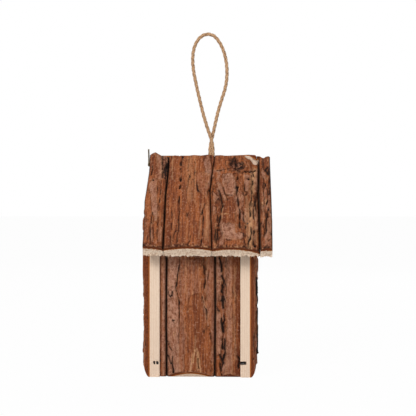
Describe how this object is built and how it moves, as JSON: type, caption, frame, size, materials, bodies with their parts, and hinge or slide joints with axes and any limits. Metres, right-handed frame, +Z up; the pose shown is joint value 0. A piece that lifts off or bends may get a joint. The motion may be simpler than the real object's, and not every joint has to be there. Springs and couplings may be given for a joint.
{
  "type": "hanging birdhouse",
  "caption": "Hanging birdhouse of pine slabs that keep their bark, with a steep gable roof, a round entrance in the front gable and a jute cord loop at the ridge.",
  "frame": {"origin": "under the middle of the house, measured without its cord, on the plane that its walls stand on", "axes": "+X along the ridge towards the front gable with the entrance, +Y across the house from side a to side b, +Z up"},
  "size_m": [0.1432, 0.1862, 0.3909],
  "materials": {
    "bark_slab": "rough pine bark, sawn edges left pale",
    "pine_board": "rough sawn, untreated",
    "jute_cord": "twisted jute, fuzzy",
    "staple_steel": "dull galvanised wire",
    "brad_brass": "dulled, olive brown"
  },
  "bodies": {
    "house": {"back_slab_1": "bark_slab", "back_slab_2": "bark_slab", "back_slab_3": "bark_slab", "back_staples": "staple_steel", "bent_brad": "brad_brass", "cord_knot": "jute_cord", "eave_rail_a": "pine_board", "eave_rail_b": "pine_board", "floor_board": "pine_board", "floor_staples": "staple_steel", "front_slab_1": "bark_slab", "front_slab_2": "bark_slab", "front_slab_3": "bark_slab", "front_staples": "staple_steel", "ridge_beam": "pine_board", "roof_a_slab_1": "bark_slab", "roof_a_slab_2": "bark_slab", "roof_a_slab_3": "bark_slab", "roof_a_slab_4": "bark_slab", "roof_a_staples": "staple_steel", "roof_b_slab_1": "bark_slab", "roof_b_slab_2": "bark_slab", "roof_b_slab_3": "bark_slab", "roof_b_slab_4": "bark_slab", "roof_b_staples": "staple_steel", "side_a_slab_1": "bark_slab", "side_a_slab_2": "bark_slab", "side_a_slab_3": "bark_slab", "side_a_staples": "staple_steel", "side_b_slab_1": "bark_slab", "side_b_slab_2": "bark_slab", "side_b_slab_3": "bark_slab", "side_b_staples": "staple_steel"},
    "cord_loop": {"hanging_loop": "jute_cord"}
  },
  "joints": [
    {"name": "loop_swing", "type": "hinge", "parent": "house", "child": "cord_loop", "pos_m": [0.00345, 0, 0.24975], "axis": [1, 0, 0], "range_deg": [-120, 120]}
  ]
}
